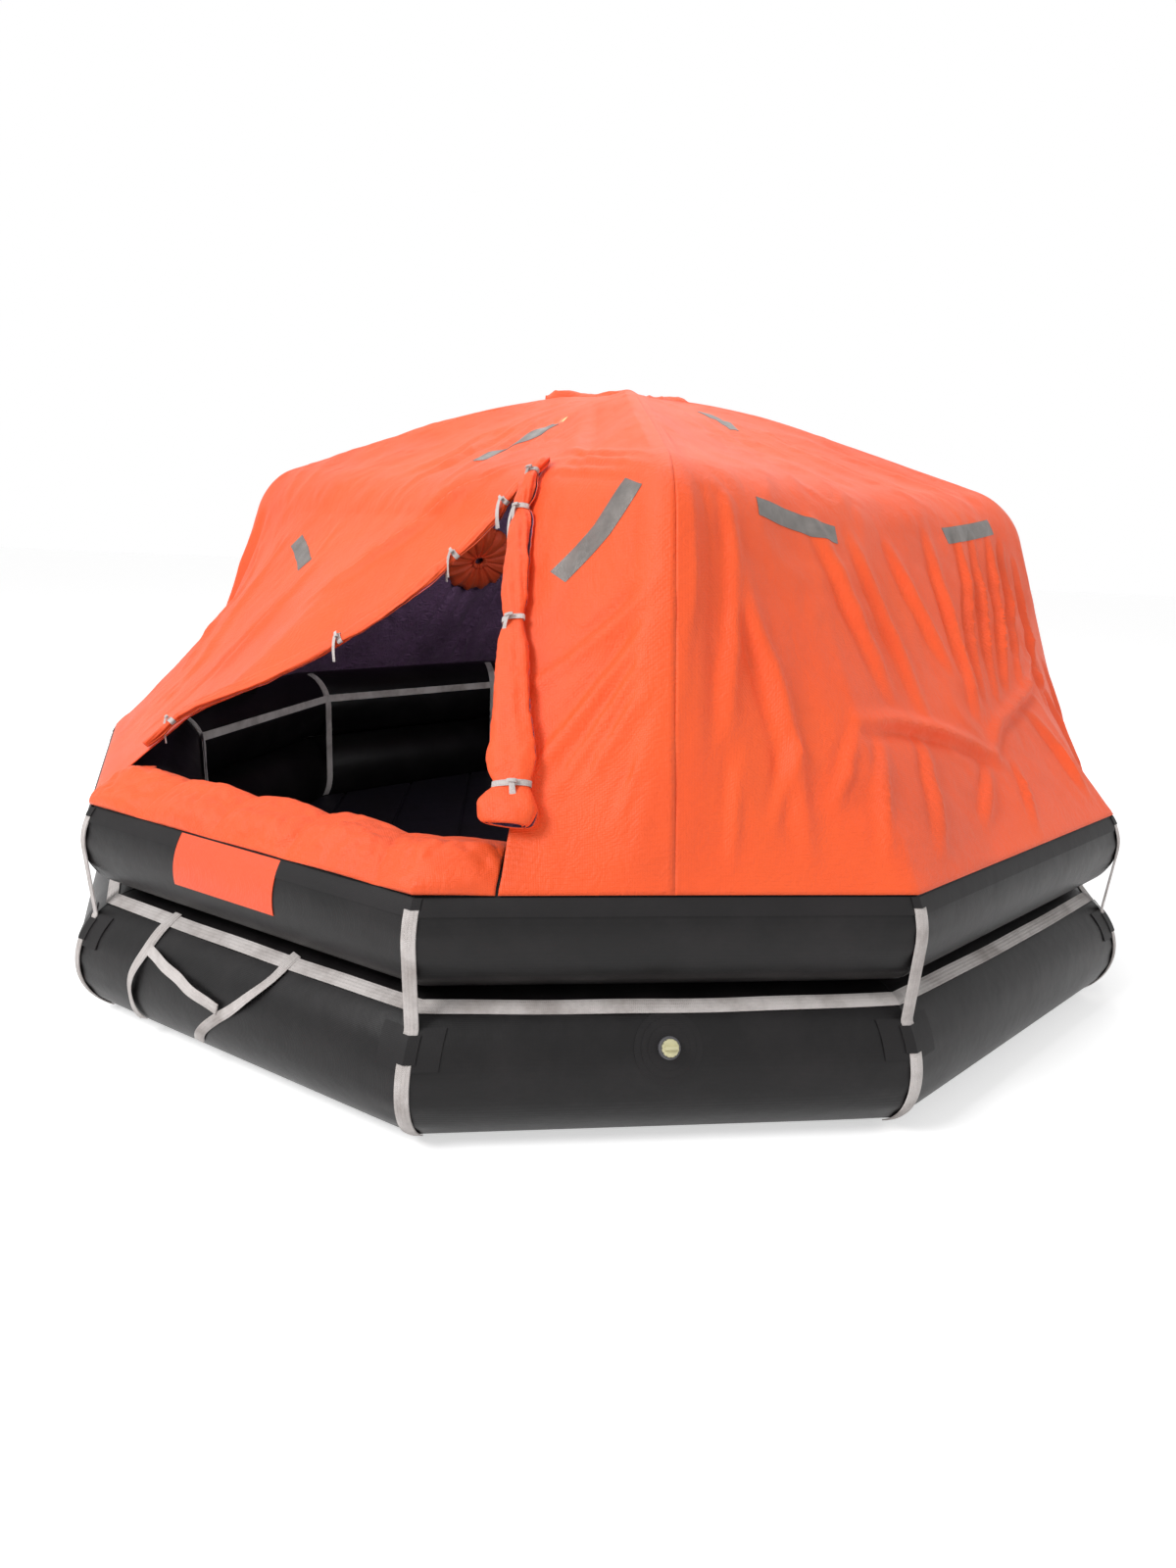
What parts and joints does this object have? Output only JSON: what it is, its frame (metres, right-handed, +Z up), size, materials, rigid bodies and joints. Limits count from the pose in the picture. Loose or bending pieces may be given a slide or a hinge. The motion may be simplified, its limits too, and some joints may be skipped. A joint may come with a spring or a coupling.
{
  "type": "inflatable life raft",
  "caption": "Decagonal inflatable life raft with twin buoyancy tubes, a tented orange canopy, a rolled-back entrance, webbing lifelines and valves.",
  "frame": {"origin": "On the ground at the centre of the raft's outline.", "axes": "+Z up, the front side with its canopy ridge faces -Y, +X to the right seen from the front."},
  "size_m": [3.3812, 3.232, 1.7174],
  "materials": {
    "tube_rubber": "black coated fabric, satin",
    "bonding_rubber": "black rubber sheet, matt",
    "floor_rubber": "black coated fabric",
    "patch_orange": "orange coated fabric",
    "pocket_fabric": "black coated fabric",
    "canopy_fabric": "orange woven canopy fabric, dark lining",
    "webbing": "off-white woven webbing",
    "valve_plastic": "grey moulded plastic",
    "cap_plastic": "pale moulded plastic",
    "cylinder_paint": "green painted steel",
    "head_brass": "cast brass",
    "lever_paint": "red painted steel"
  },
  "bodies": {
    "hull": {"lower_tube": "tube_rubber", "upper_tube": "tube_rubber", "hem_strip": "bonding_rubber", "boarding_patch": "patch_orange", "floor_membrane": "floor_rubber", "floor_pad": "floor_rubber", "ballast_pockets": "pocket_fabric", "arch_frame": "tube_rubber", "canopy_entrance_gore": "canopy_fabric", "canopy_left_gore": "canopy_fabric", "canopy_rear_gore": "canopy_fabric", "canopy_right_gore": "canopy_fabric", "outer_straps": "webbing", "inner_straps": "webbing", "outer_lifeline": "webbing", "inner_lifeline": "webbing", "strap_loops": "bonding_rubber", "strap_anchors": "bonding_rubber", "lower_valve_patch": "bonding_rubber", "lower_valve_body": "valve_plastic", "upper_valve_patch": "bonding_rubber", "upper_valve_body": "valve_plastic", "gas_cylinder": "cylinder_paint", "cylinder_saddles": "bonding_rubber", "operating_head": "head_brass"},
    "lower_cap": {"lower_valve_cap": "cap_plastic"},
    "upper_cap": {"upper_valve_cap": "cap_plastic"},
    "lever": {"release_lever": "lever_paint"}
  },
  "joints": [
    {"name": "lower_cap_turn", "type": "hinge", "parent": "hull", "child": "lower_cap", "pos_m": [0, -1.45, 0.149], "axis": [0, -0.891, 0.454], "range_deg": [0, 270]},
    {"name": "upper_cap_turn", "type": "hinge", "parent": "hull", "child": "upper_cap", "pos_m": [0.85229, 1.17308, 0.4453], "axis": [0.5703, 0.785, -0.2419], "range_deg": [0, 270]},
    {"name": "lever_pull", "type": "hinge", "parent": "hull", "child": "lever", "pos_m": [-1.19536, 1.19732, 0.1103], "axis": [-0.5878, 0.809, 0], "range_deg": [0, 95]}
  ]
}
